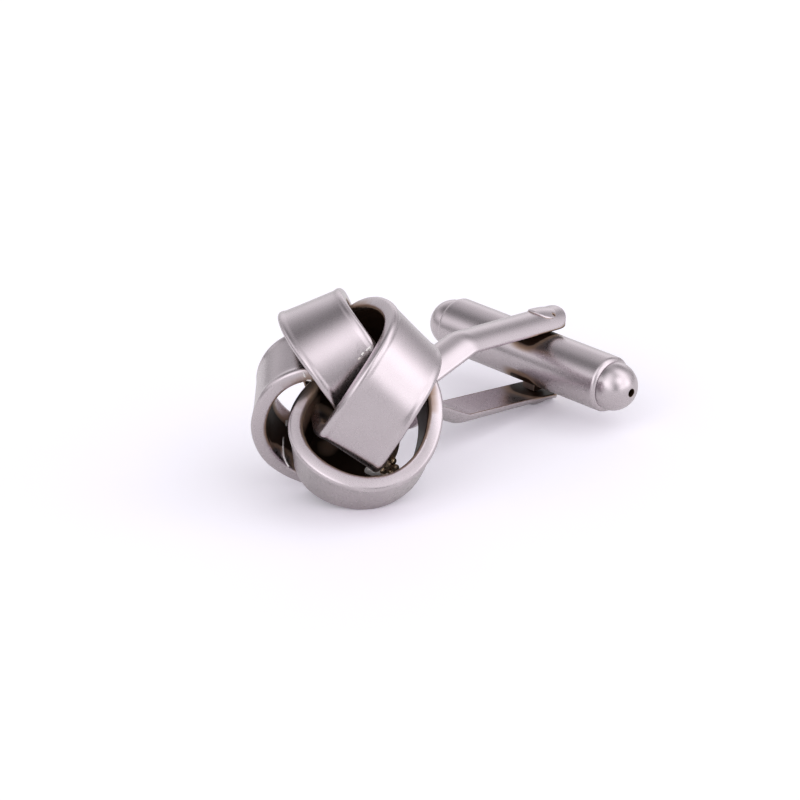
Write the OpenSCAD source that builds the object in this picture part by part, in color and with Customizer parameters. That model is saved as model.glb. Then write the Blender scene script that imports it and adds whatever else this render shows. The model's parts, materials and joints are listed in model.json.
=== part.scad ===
// Knot cufflink with a swivel toggle back, lying on a table.
// Four like ribbon bands are interlinked and soldered into a knot, the face of the cufflink.
// A bent strip on the knot's back forms two arms, and a toggle turns on a rivet between them.
// Each piece is built in the cufflink's own directions and is then laid down as it rests:
// X runs along the toggle, Y from the knot to the toggle, and Z along the rivet.

/* [Toggle] */
// Length of the toggle over both caps
toggle_length = 19.5; // [18:0.1:21]
// Outer diameter of the barrel
barrel_d = 4.16; // [3.8:0.02:4.2]
// Length of the barrel
barrel_length = 15.7; // [14.5:0.1:15.9]
// Thickness of the barrel's wall
barrel_wall = 0.6; // [0.4:0.05:0.9]
// Rounding of the barrel's rims
barrel_edge = 0.4; // [0.1:0.05:0.45]
// Diameter of the round caps
cap_d = 3.6; // [3.2:0.05:3.9]
// Diameter of the vent hole in the tip of a cap
vent_d = 0.6; // [0.4:0.05:0.9]
// Distance from the rivet to the middle of the toggle
toggle_offset = 0.5; // [0:0.05:0.6]

/* [Rivet and swivel block] */
// Side of the square swivel block
block_side = 1.2; // [1.1:0.05:1.6]
// Diameter of the rivet's pin
pin_d = 0.7; // [0.6:0.02:0.74]
// Diameter of the rivet's heads
head_d = 2.1; // [1.6:0.05:2.4]
// Height of the rivet's heads
head_h = 0.3; // [0.2:0.05:0.4]
// Depth of the flat spots that the heads sit in
spot_depth = 0.18; // [0.1:0.02:0.25]

/* [Bracket] */
// Width of the bent strip
strip_w = 3.15; // [2.8:0.05:3.3]
// Thickness of the strip at its long edges
strip_edge_t = 0.38; // [0.25:0.01:0.45]
// How far the strip's outer face bulges between its long edges
strip_crown = 0.5; // [0.3:0.05:0.6]
// How far beyond the rivet the centre of an arm's round end lies
arm_reach = 0.2; // [0:0.05:0.4]
// Free height between the arms at the rivet
gap_at_rivet = 5.02; // [4.8:0.01:5.2]
// Free height between the arms at their bends
gap_at_bend = 4.5; // [4.45:0.05:4.6]
// How far the middle between the arms lies below the toggle's axis
arms_drop = 0.05; // [0:0.01:0.1]
// Distance from the rivet to the bends
bend_distance = 8.5; // [8.5:0.05:8.8]
// Angle of each leg, from its bend to the foot
leg_angle = 21.8; // [21:0.1:23]
// Diameter of the foot on the knot's back
foot_d = 5.6; // [5:0.1:6]

/* [Ribbon bands] */
// Radius of a band's loop, to the middle of its outer face
band_radius = 5.05; // [4.9:0.01:5.2]
// Width of the ribbon
band_w = 4.9; // [4.6:0.05:5.1]
// Thickness of the ribbon
band_t = 1.1; // [0.9:0.05:1.2]
// Rounding of the ribbon's edges
band_edge = 0.36; // [0.2:0.02:0.44]
// Angle between a band's axis and the direction that the knot faces
band_tilt = 42.9; // [40:0.1:45]
// Direction of that tilt, counted from the band's outward side
band_lean = 104; // [100:0.5:108]
// Distance of a band's centre from the middle of the knot
band_spread = 2.58; // [2.4:0.01:2.8]
// Turn of the whole ring of bands about the direction that the knot faces
ring_turn = 40.1; // [35:0.1:45]

/* [Knot's seat] */
// Distance from the rivet to the middle of the knot
knot_distance = 19.5; // [19.3:0.05:20]
// Sideways place of the knot's middle
knot_side = 0.2; // [0:0.05:1]
// Upright place of the knot's middle
knot_rise = 0.45; // [0:0.05:1]
// Sideways turn of the knot's face
face_turn = 1.2; // [0:0.1:4]
// Upward turn of the knot's face
face_lift = 4.6; // [0:0.1:6]

/* [How it lies] */
// Upward turn about the toggle's direction, which sets the toggle lower than the knot
lie_pitch = -8.74; // [-14:0.01:-6]
// Turn about the direction from the knot to the toggle
lie_roll = 3.36; // [0:0.01:6]

/* [Hidden] */

// Gap between pieces that are fixed to each other
seat_gap = 0.02;
// Gap round the rivet's pin in the swivel block, and between the block and the arms
running_gap = 0.04;
block_end_gap = 0.06;
// Sideways and upward shifts that put the origin under the middle of the lying cufflink
lie_shift = [0.5, 11.43, 3.723];
// Height of the knot's back surface along the post, where the foot is soldered on
foot_back = -14.66;
foot_t = 0.5;

// Bends and swellings of a band's loop: mm of radius, mm of height and degrees of twist,
// for waves that go round the loop once, twice and three times
oval = [-0.24, -0.13];
trefoil = [0.16, 0.04];
saddle = [-0.24, -0.35];
twist_even = -6.9;
twist_once = [0.8, -10.8];
twist_double = [-2.5, -2];

// Small hand fitting of each band, upper left, right, lower and left:
// shift along X, Y and Z in mm, and turn about X, Y and Z in degrees
BAND_SEATS = [
    [[0.14, 0.14, -0.03], [0.9, 1.4, -3.4]],
    [[-0.12, -0.06, 0.02], [0.7, 0.6, 2.8]],
    [[0.14, 0.03, -0.06], [-0.4, -1, -0.4]],
    [[-0.12, -0.09, 0.09], [-1, -1.4, 1]],
];
band_count = len(BAND_SEATS);
band_sections = 60;
edge_steps = 2;

function unit(v) = v / norm(v);

// The vector v, turned about the axis and by the angle that the turn vector holds
function turned(v, turn) =
    let (angle = norm(turn), axis = unit(turn))
    v * cos(angle) + cross(axis, v) * sin(angle) + axis * (axis * v) * (1 - cos(angle));

// A wave that goes round the loop n times: w holds its cosine and sine parts
function wave(w, n, at) = w[0] * cos(n * at) + w[1] * sin(n * at);

// Directions of the knot: where it faces, its own up and its own right
face_dir = unit([tan(face_turn), -1, tan(face_lift)]);
face_up = unit([0, 0, 1] - face_dir[2] * face_dir);
face_right = cross(face_up, face_dir);
knot_middle = [knot_side, -knot_distance, knot_rise];

// Direction from the middle of the knot to the centre of band k, and the band's own directions
function band_out(k) =
    let (a = ring_turn - 360 / band_count * k)
    cos(a) * face_up - sin(a) * face_right;
function band_axis(k) =
    let (out = band_out(k))
    cos(band_tilt) * face_dir
    + sin(band_tilt) * (cos(band_lean) * out + sin(band_lean) * cross(face_dir, out));
function band_start(k) =
    let (out = band_out(k), axis = band_axis(k))
    unit(out - (out * axis) * axis);

// Middle of the ribbon's outer face, seen from the loop's centre, at an angle round the loop
function loop_point(k, at) =
    let (axis = band_axis(k), start = band_start(k), radius = band_radius + wave(oval, 2, at) + wave(trefoil, 3, at))
    radius * (cos(at) * start + sin(at) * cross(axis, start)) + wave(saddle, 2, at) * axis;

// The ribbon's section, a rectangle with rounded corners: [outward, across], outer face at 0
SECTION = [
    for (corner = [0:3])
        let (
            out = (corner == 0 || corner == 3) ? -band_edge : band_edge - band_t,
            across = (corner < 2 ? 1 : -1) * (band_w / 2 - band_edge)
        )
        for (step = [0:edge_steps])
            let (a = 90 * corner + 90 * step / edge_steps)
            [out + band_edge * cos(a), across + band_edge * sin(a)]
];

// The section of band k at an angle round its loop, as points in space
function band_section(k, at) =
    let (
        axis = band_axis(k),
        along = unit(loop_point(k, at + 1) - loop_point(k, at - 1)),
        flat = unit(axis - (along * axis) * along),
        outward = cross(along, flat),
        twist = twist_even + wave(twist_once, 1, at) + wave(twist_double, 2, at),
        n = cos(twist) * outward + sin(twist) * flat,
        b = cos(twist) * flat - sin(twist) * outward,
        seat = BAND_SEATS[k],
        centre = knot_middle + band_spread * band_out(k) + seat[0]
    )
    [for (p = SECTION) centre + turned(loop_point(k, at) + p[0] * n + p[1] * b, seat[1])];

// One ribbon band: a closed loop of sections, two triangles to each patch
module band(k) {
    count = len(SECTION);
    points = [
        for (i = [0:band_sections - 1])
            each band_section(k, 360 * i / band_sections)
    ];
    faces = [
        for (i = [0:band_sections - 1], j = [0:count - 1])
            let (
                here = i * count,
                next = (i + 1) % band_sections * count,
                j2 = (j + 1) % count
            )
            each [[here + j, next + j2, next + j], [here + j, here + j2, next + j2]]
    ];
    polyhedron(points, faces);
}

// Lays what is built in the cufflink's own directions down on the table
module lying() {
    translate(lie_shift) rotate([lie_pitch, lie_roll, 0]) children();
}

module knot() {
    color("#a39a92") lying() union() {
        for (k = [0:band_count - 1]) band(k);
    }
}

// Places what is built about the middle between the arms, on the rivet's axis
module between_arms() {
    lying() translate([0, 0, -arms_drop]) children();
}

// Half of the free height between the arms, at a distance along Y from the rivet
arm_slope = (gap_at_rivet - gap_at_bend) / 2 / bend_distance;
arm_angle = atan(arm_slope);
function half_gap(y) = gap_at_rivet / 2 + arm_slope * y;

// Section of the strip, [outward, across]: flat inside, curved outside
strip_t = strip_edge_t + strip_crown;
crown_radius = (strip_crown + strip_w * strip_w / 4 / strip_crown) / 2;
module strip_section() {
    intersection() {
        translate([strip_t - crown_radius, 0]) circle(r = crown_radius, $fn = 128);
        translate([0, -strip_w / 2]) square([strip_t, strip_w]);
    }
}

// The bend of the upper arm, on the strip's inside, as [0, along Y, along Z]
bend_corner = [0, -bend_distance, half_gap(-bend_distance)];
// How far each stretch runs past the corner, so that the two close the bend's outside
bend_overlap = 0.2;

// A straight stretch of strip that rises by an angle, between two distances from the bend's corner
module stretch(angle, from, to) {
    translate(bend_corner) rotate([angle, 0, 0]) translate([0, from, 0])
        rotate([0, -90, -90]) linear_extrude(to - from) strip_section();
}

foot_top = foot_back + foot_t / 2;

module upper_arm() {
    intersection() {
        union() {
            stretch(arm_angle, -bend_overlap, bend_distance + strip_w);
            stretch(leg_angle, foot_back, bend_overlap);
        }
        union() {
            translate([0, arm_reach, 0]) cylinder(d = strip_w, h = 2 * gap_at_rivet, $fn = 96);
            translate([-strip_w / 2, foot_top, -gap_at_rivet])
                cube([strip_w, arm_reach - foot_top, 3 * gap_at_rivet]);
        }
    }
}

// Height of the flat spot under a rivet head
head_seat = half_gap(0) + strip_t - spot_depth;

module bracket() {
    color("#a8a099") between_arms() difference() {
        union() {
            upper_arm();
            mirror([0, 0, 1]) upper_arm();
            translate([0, foot_back, 0]) rotate([-90, 0, 0])
                cylinder(d = foot_d, h = foot_t, $fn = 64);
        }
        cylinder(d = pin_d + 2 * seat_gap, h = 3 * gap_at_rivet, center = true, $fn = 32);
        for (s = [1, -1])
            translate([0, 0, s * (head_seat + strip_t)])
                cylinder(d = head_d + 4 * seat_gap, h = 2 * strip_t, center = true, $fn = 64);
    }
}

module rivet() {
    color("#8f8780") between_arms() union() {
        cylinder(d = pin_d, h = 2 * (head_seat + seat_gap) + head_h, center = true, $fn = 32);
        for (s = [1, -1])
            translate([0, 0, s * (head_seat + seat_gap + head_h / 2)])
                cylinder(d = head_d, h = head_h, center = true, $fn = 64);
    }
}

module on_toggle() {
    lying() translate([-toggle_offset, 0, 0]) rotate([0, 90, 0]) children();
}

barrel_bore_d = barrel_d - 2 * barrel_wall;
block_h = 2 * (half_gap(-block_side / 2) - block_end_gap);

// Half of the barrel's section as if it were solid: a rectangle with round outer corners
module barrel_half_section() {
    translate([0, -barrel_length / 2]) square([barrel_d / 2 - barrel_edge, barrel_length]);
    translate([0, barrel_edge - barrel_length / 2])
        square([barrel_d / 2, barrel_length - 2 * barrel_edge]);
    for (s = [1, -1])
        translate([barrel_d / 2 - barrel_edge, s * (barrel_length / 2 - barrel_edge)])
            circle(r = barrel_edge, $fn = 24);
}

module barrel() {
    color("#a8a099") difference() {
        on_toggle() rotate_extrude($fn = 96) intersection() {
            translate([barrel_bore_d / 2, -barrel_length / 2]) square([barrel_wall, barrel_length]);
            barrel_half_section();
        }
        lying() cube([1, 1, 2] * (block_side + 2 * seat_gap) + [0, 0, barrel_d], center = true);
    }
}

// A cap: a ball with a spigot in the barrel, drilled through for the vent
module cap(side) {
    cap_middle = toggle_length / 2 - cap_d / 2;
    color("#b0a8a0") on_toggle() difference() {
        union() {
            intersection() {
                translate([0, 0, side * cap_middle]) sphere(d = cap_d, $fn = 64);
                translate([0, 0, side * (barrel_length / 2 + seat_gap + cap_d / 2)])
                    cube(cap_d, center = true);
            }
            translate([0, 0, side * (barrel_length / 2 - 0.5)])
                cylinder(d = barrel_bore_d - 2 * seat_gap, h = 1 + 4 * seat_gap, center = true, $fn = 64);
        }
        translate([0, 0, side * barrel_length / 2])
            cylinder(d = vent_d, h = 2 * cap_d, center = true, $fn = 24);
    }
}

module left_cap() {
    cap(-1);
}

module right_cap() {
    cap(1);
}

module swivel_block() {
    color("#8f8780") between_arms() difference() {
        cube([block_side, block_side, block_h], center = true);
        cylinder(d = pin_d + 2 * running_gap, h = 2 * block_h, center = true, $fn = 32);
    }
}

knot();
bracket();
rivet();
barrel();
left_cap();
right_cap();
swivel_block();
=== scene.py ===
"""A satin metal knot cufflink with a swivel toggle back, lying on a pale table."""

import json
import math

import bmesh
import bpy
from mathutils import Matrix, Vector, noise
from mathutils.bvhtree import BVHTree
from mathutils.geometry import delaunay_2d_cdt


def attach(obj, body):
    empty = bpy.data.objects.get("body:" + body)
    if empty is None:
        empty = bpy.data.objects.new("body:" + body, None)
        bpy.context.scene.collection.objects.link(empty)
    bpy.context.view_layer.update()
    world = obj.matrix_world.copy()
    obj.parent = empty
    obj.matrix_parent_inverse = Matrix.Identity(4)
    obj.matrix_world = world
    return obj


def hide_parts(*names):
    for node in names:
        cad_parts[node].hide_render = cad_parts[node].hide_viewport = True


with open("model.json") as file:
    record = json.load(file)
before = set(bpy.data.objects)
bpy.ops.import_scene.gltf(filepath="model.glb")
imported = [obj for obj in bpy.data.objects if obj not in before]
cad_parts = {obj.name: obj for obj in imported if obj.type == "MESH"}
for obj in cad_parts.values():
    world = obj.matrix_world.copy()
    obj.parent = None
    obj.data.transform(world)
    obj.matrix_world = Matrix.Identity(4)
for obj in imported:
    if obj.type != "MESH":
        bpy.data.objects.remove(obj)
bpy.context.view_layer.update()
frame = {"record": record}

bl_info = {
    "name": "Knot cufflink",
    "version": (1, 0, 0),
    "blender": (4, 5, 0),
    "location": "3D View > Sidebar > Cufflink",
    "description": "Builds a knot cufflink with a swivel toggle and its studio",
    "category": "Object",
}

MM = 0.001


# The cufflink's own directions

def laid_down():
    """Places the cufflink's own directions (X along the toggle, Z along the rivet) on the table."""
    swivel = frame["record"]["behaviour"]["joints"][0]
    up = Vector(swivel["axis"]).normalized()
    along = Vector((up.z, 0, -up.x)).normalized()
    back = up.cross(along)
    turn = Matrix((along, back, up)).transposed().to_4x4()
    return Matrix.Translation(swivel["pos_m"]) @ turn


LAY = laid_down()


# Sizes and colours

def length(name, default_mm, description):
    """A size that the user can change, given in mm."""
    return bpy.props.FloatProperty(
        name=name, description=description, default=default_mm * MM,
        min=0, precision=5, unit="LENGTH", subtype="DISTANCE")


def angle(name, default_degrees, description):
    """An angle that the user can change, given in degrees."""
    return bpy.props.FloatProperty(
        name=name, description=description, default=math.radians(default_degrees),
        unit="ROTATION", subtype="ANGLE")


def share(name, default, description):
    """A value between 0 and 1 that the user can change."""
    return bpy.props.FloatProperty(
        name=name, description=description, default=default, min=0, max=1, subtype="FACTOR")


def colour(name, default, description):
    """A colour that the user can change."""
    return bpy.props.FloatVectorProperty(
        name=name, description=description, default=default,
        min=0, max=1, size=3, subtype="COLOR")


class CufflinkKnotSizes(bpy.types.PropertyGroup):
    """Sizes of the four interlinked ribbon bands."""

    band_radius: length("Band radius", 5.05, "From a band's centre to the middle of its outer face")
    band_width: length("Band width", 4.9, "Width of the ribbon")
    band_thickness: length("Band thickness", 1.1, "Thickness of the ribbon")
    band_edge: length("Band edge", 0.3, "Rounding of the ribbon's edges")
    band_dish: length("Band dish", 0.05, "How far the outer face sinks between its raised lips")
    band_lip: length("Band lip", 0.04, "Width of the raised lips along the ribbon's edges")
    lip_slope: length("Lip slope", 0.34, "Width of the slope from a lip down to the face")
    band_wave: length("Band wave", 0.03, "Height of the hand-made waviness of the faces")
    band_tilt: angle("Band tilt", 42.9, "Between a band's axis and the way the knot faces")
    band_lean: angle("Band lean", 104, "Direction of the tilt, from the band's outward side")
    band_spread: length("Band spread", 2.58, "From the middle of the knot to a band's centre")
    ring_turn: angle("Ring turn", 40.1, "Turn of all bands about the way the knot faces")
    knot_distance: length("Knot distance", 19.5, "From the rivet to the middle of the knot")
    knot_side: length("Knot side", 0.2, "Sideways place of the knot's middle")
    knot_rise: length("Knot rise", 0.45, "Upright place of the knot's middle")
    face_turn: angle("Face turn", 1.2, "Sideways turn of the knot's face")
    face_lift: angle("Face lift", 4.6, "Upward turn of the knot's face")


class CufflinkBackSizes(bpy.types.PropertyGroup):
    """Sizes of the bracket, the rivet and the toggle."""

    strip_width: length("Strip width", 3.15, "Width of the bent strip")
    strip_edge: length("Strip edge", 0.2, "Thickness of the strip at its long edges")
    strip_crown: length("Strip crown", 0.88, "How far the strip's outer face bulges")
    lower_crown: length("Lower crown", 0.68, "The same at the lower arm's round end")
    lower_sag: length("Lower sag", 0.18, "How far the lower arm is bent down at its bend")
    strip_round: length("Strip rounding", 0.05, "Rounding of the strip's edges")
    arm_reach: length("Arm reach", 0.2, "From the rivet to the centre of an arm's round end")
    gap_at_rivet: length("Gap at the rivet", 5.02, "Free height between the arms at the rivet")
    gap_at_bend: length("Gap at the bends", 4.5, "Free height between the arms at their bends")
    arms_drop: length("Arms' drop", 0.05, "From the toggle's axis down to the middle between the arms")
    bend_distance: length("Bend distance", 8.5, "From the rivet to the bends")
    bend_radius: length("Bend radius", 1.2, "Radius on the inside of the bends")
    leg_angle: angle("Leg angle", 21.8, "Slope of each leg, from its bend to the foot")
    foot_distance: length("Foot distance", 14.66, "From the rivet to the foot's back")
    foot_diameter: length("Foot diameter", 5.6, "Diameter of the foot on the knot's back")
    foot_thickness: length("Foot thickness", 0.5, "Thickness of the foot")
    pin_diameter: length("Pin diameter", 0.7, "Diameter of the rivet's pin")
    head_diameter: length("Head diameter", 2.1, "Diameter of the rivet's heads")
    head_height: length("Head height", 0.06, "How far the rivet's heads bulge over the strip")
    spot_depth: length("Spot depth", 0.42, "Depth of the flat spots under the heads")
    toggle_length: length("Toggle length", 19.5, "Length over both caps")
    toggle_offset: length("Toggle offset", 0.5, "From the rivet to the toggle's middle")
    barrel_diameter: length("Barrel diameter", 4.16, "Outer diameter of the barrel")
    barrel_length: length("Barrel length", 15.7, "Length of the barrel")
    barrel_wall: length("Barrel wall", 0.6, "Thickness of the barrel's wall")
    barrel_edge: length("Barrel edge", 0.4, "Rounding of the barrel's rims")
    cap_diameter: length("Cap diameter", 3.6, "Diameter of the round caps")
    vent_diameter: length("Vent diameter", 0.6, "Diameter of the vent holes")
    block_side: length("Block side", 1.2, "Side of the swivel block")


class CufflinkFinish(bpy.types.PropertyGroup):
    """Colours and finish of the metal and the studio."""

    metal: colour("Metal", (0.605, 0.535, 0.578), "Satin metal")
    # Tarnish is the colour of painted shade in hidden places, and fringe the tan painted warm
    # reflection at its edge
    painted_shade: colour("Painted shade", (0.026, 0.013, 0.008), "Dark film on inner faces")
    painted_shade_fringe: colour("Painted shade fringe", (0.40, 0.24, 0.14), "Tan edge where the dark film thins out")
    # Pale solder: partly the solder's own colour, partly a painted highlight that makes the bead, the
    # seams and the specks look lit
    solder: colour("Solder", (0.95, 0.90, 0.91), "Pale solder of the bead and the seams")
    scorch: colour("Scorch", (0.62, 0.45, 0.27), "Golden brown solder of the small lumps")
    floor: colour("Floor", (0.95, 0.92, 1.0), "Table top")
    roughness: share("Roughness", 0.28, "Roughness of the satin metal")
    solder_roughness: share("Solder roughness", 0.2, "Roughness of the solder")
    grain: share("Grain", 0.05, "Strength of the blasted grain")


# Helpers for meshes

def clamped(value):
    """The value, kept between 0 and 1."""
    return min(1, max(0, value))


def fresh_mesh(name, points, faces):
    """A mesh from points in the cufflink's own directions, with its faces turned outward."""
    mesh = bpy.data.meshes.new(name)
    mesh.from_pydata([tuple(p) for p in points], [], faces)
    mesh.validate()
    work = bmesh.new()
    work.from_mesh(mesh)
    bmesh.ops.remove_doubles(work, verts=work.verts, dist=1e-7)
    bmesh.ops.recalc_face_normals(work, faces=work.faces)
    work.to_mesh(mesh)
    work.free()
    return mesh


def combined(base, others, operation):
    """The mesh that a chain of booleans leaves."""
    body = bpy.data.objects.new("work_body", base)
    bpy.context.scene.collection.objects.link(body)
    tools = []
    for other in others:
        tool = bpy.data.objects.new("work_tool", other)
        bpy.context.scene.collection.objects.link(tool)
        tools.append(tool)
        cut = body.modifiers.new("cut", "BOOLEAN")
        cut.operation = operation
        cut.solver = "EXACT"
        cut.object = tool
    bpy.context.view_layer.update()
    depsgraph = bpy.context.evaluated_depsgraph_get()
    result = bpy.data.meshes.new_from_object(body.evaluated_get(depsgraph))
    for item in [body] + tools:
        bpy.data.objects.remove(item)
    return result


def rounded(mesh, width, segments=3, limit=40):
    """The mesh with its sharp edges rounded by a bevel."""
    body = bpy.data.objects.new("work_body", mesh)
    bpy.context.scene.collection.objects.link(body)
    bevel = body.modifiers.new("bevel", "BEVEL")
    bevel.width = width
    bevel.segments = segments
    bevel.limit_method = "ANGLE"
    bevel.angle_limit = math.radians(limit)
    bpy.context.view_layer.update()
    depsgraph = bpy.context.evaluated_depsgraph_get()
    result = bpy.data.meshes.new_from_object(body.evaluated_get(depsgraph))
    bpy.data.objects.remove(body)
    return result


def lathe(name, profile, sides=128):
    """A closed profile of (radius, height) turned about the axis Z."""
    points, faces = [], []
    for i in range(sides):
        a = 2 * math.pi * i / sides
        for r, h in profile:
            points.append((r * math.cos(a), r * math.sin(a), h))
    count = len(profile)
    for i in range(sides):
        here, there = i * count, (i + 1) % sides * count
        for j in range(count):
            k = (j + 1) % count
            faces.append((here + j, there + j, there + k, here + k))
    return fresh_mesh(name, points, faces)


def arc(middle_r, middle_h, radius, start, end, steps):
    """Profile points on an arc, with its angles in degrees."""
    points = []
    for i in range(steps + 1):
        a = math.radians(start + (end - start) * i / steps)
        points.append((middle_r + radius * math.cos(a), middle_h + radius * math.sin(a)))
    return points


def box_mesh(name, low, high):
    """A plain box, used as a cutter or to be rounded."""
    points = [
        (x, y, z) for x in (low[0], high[0]) for y in (low[1], high[1]) for z in (low[2], high[2])]
    faces = [(0, 1, 3, 2), (4, 6, 7, 5), (0, 4, 5, 1), (2, 3, 7, 6), (0, 2, 6, 4), (1, 5, 7, 3)]
    return fresh_mesh(name, points, faces)


def store(mesh, name, values):
    """Stores a value from 0 to 1 at each point: its share of painted shade (on the solder, of a pale
    painted highlight), and for burr, how scarred it is.
    """
    layer = mesh.attributes.new(name, "FLOAT", "POINT")
    layer.data.foreach_set("value", values)


def openness(mesh, reach, rays, lift=0.03 * MM):
    """For each point, the share of directions above the surface that stay clear of the mesh."""
    tree = BVHTree.FromPolygons([v.co for v in mesh.vertices], [p.vertices for p in mesh.polygons])
    golden = math.pi * (3 - math.sqrt(5))
    fan = []
    for i in range(rays):
        up = math.sqrt(1 - (i + 0.5) / rays)
        flat = math.sqrt(1 - up * up)
        fan.append(Vector((flat * math.cos(golden * i), flat * math.sin(golden * i), up)))
    clear = []
    for vertex in mesh.vertices:
        turn = vertex.normal.to_track_quat("Z", "Y")
        start = vertex.co + vertex.normal * lift
        hits = sum(1 for way in fan if tree.ray_cast(start, turn @ way, reach)[0] is not None)
        clear.append(1 - hits / rays)
    return clear


def finish_piece(name, mesh, material, body, nodes, crease=35, drop=0.0):
    """Lays a mesh down, makes it a piece of the scene on its body and hides the CAD nodes that it
    stands for.
    """
    mesh.transform(LAY @ Matrix.Translation((0, 0, -drop)))
    mesh.name = name
    mesh.materials.clear()
    mesh.materials.append(material)
    mesh.shade_smooth()
    mesh.set_sharp_from_angle(angle=math.radians(crease))
    piece = bpy.data.objects.new(name, mesh)
    bpy.context.scene.collection.objects.link(piece)
    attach(piece, body)
    if nodes:
        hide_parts(*nodes)
    return piece


# Helpers for materials

def new_group(name, inputs, outputs):
    """A shader node group with named sockets: (socket type, name, default)."""
    group = bpy.data.node_groups.get(name)
    if group:
        return group, None, None
    group = bpy.data.node_groups.new(name, "ShaderNodeTree")
    for kind, label, default in inputs:
        socket = group.interface.new_socket(name=label, in_out="INPUT", socket_type=kind)
        if default is not None:
            socket.default_value = default
    for kind, label in outputs:
        group.interface.new_socket(name=label, in_out="OUTPUT", socket_type=kind)
    return group, group.nodes.new("NodeGroupInput"), group.nodes.new("NodeGroupOutput")


def math_node(tree, operation, first, second=None, clamp=False):
    """A Math node on two values or sockets; returns its output."""
    node = tree.nodes.new("ShaderNodeMath")
    node.operation = operation
    node.use_clamp = clamp
    for i, value in enumerate((first, second)):
        if value is None:
            continue
        if isinstance(value, (int, float)):
            node.inputs[i].default_value = value
        else:
            tree.links.new(value, node.inputs[i])
    return node.outputs[0]


def mix_colour(tree, factor, first, second, blend="MIX"):
    """A colour mix; factor, first and second are sockets or values."""
    node = tree.nodes.new("ShaderNodeMix")
    node.data_type = "RGBA"
    node.blend_type = blend
    for i, value in ((0, factor), (6, first), (7, second)):
        if hasattr(value, "is_output"):
            tree.links.new(value, node.inputs[i])
        elif i == 0:
            node.inputs[i].default_value = value
        else:
            node.inputs[i].default_value = (*value, 1)
    return node.outputs[2]


def noise_texture(tree, vector, scale, detail=2.0, rough=0.5):
    """A noise over the surface; scale is the number of waves in a metre."""
    node = tree.nodes.new("ShaderNodeTexNoise")
    node.inputs["Scale"].default_value = scale
    node.inputs["Detail"].default_value = detail
    node.inputs["Roughness"].default_value = rough
    tree.links.new(vector, node.inputs["Vector"])
    return node.outputs["Fac"]


# Waves in a metre of the grain, its flecks, the cloudiness and the scars
GRAIN_WAVES = 9000
FLECK_WAVES = 6500
CLOUD_WAVES = 420
SCAR_WAVES = 2600
GRAIN_HEIGHT = 0.03 * MM
SCAR_HEIGHT = 22  # height of the scars, as a multiple of the grain's
CLOUD_TONE = 0.12  # how far the cloudiness swings the metal's tone
FLECK_TONE = 0.04
FLECK_ROUGHNESS = 0.06  # how far the flecks swing the roughness
PAINTED_LIGHT_ROUGHNESS = 0.15  # what the painted shade, and on the solder the pale painted highlight, adds to the roughness
PAINTED_LIGHT_COVER = 0.9  # share of the bare metal that full painted shade, and on the solder the pale painted highlight, hides
PAINTED_LIGHT_SHINE = 0.06  # how little the painted shade and the pale painted highlight shine
# Strength of the tan painted warm reflection where the painted shade is half strong
PAINTED_SHADE_FRINGE_STRENGTH = 2.6


def swing(tree, source, strength):
    """A noise from 0 to 1, turned into a swing of the given strength about 0."""
    return math_node(tree, "MULTIPLY", math_node(tree, "SUBTRACT", source, 0.5), strength)


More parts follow.
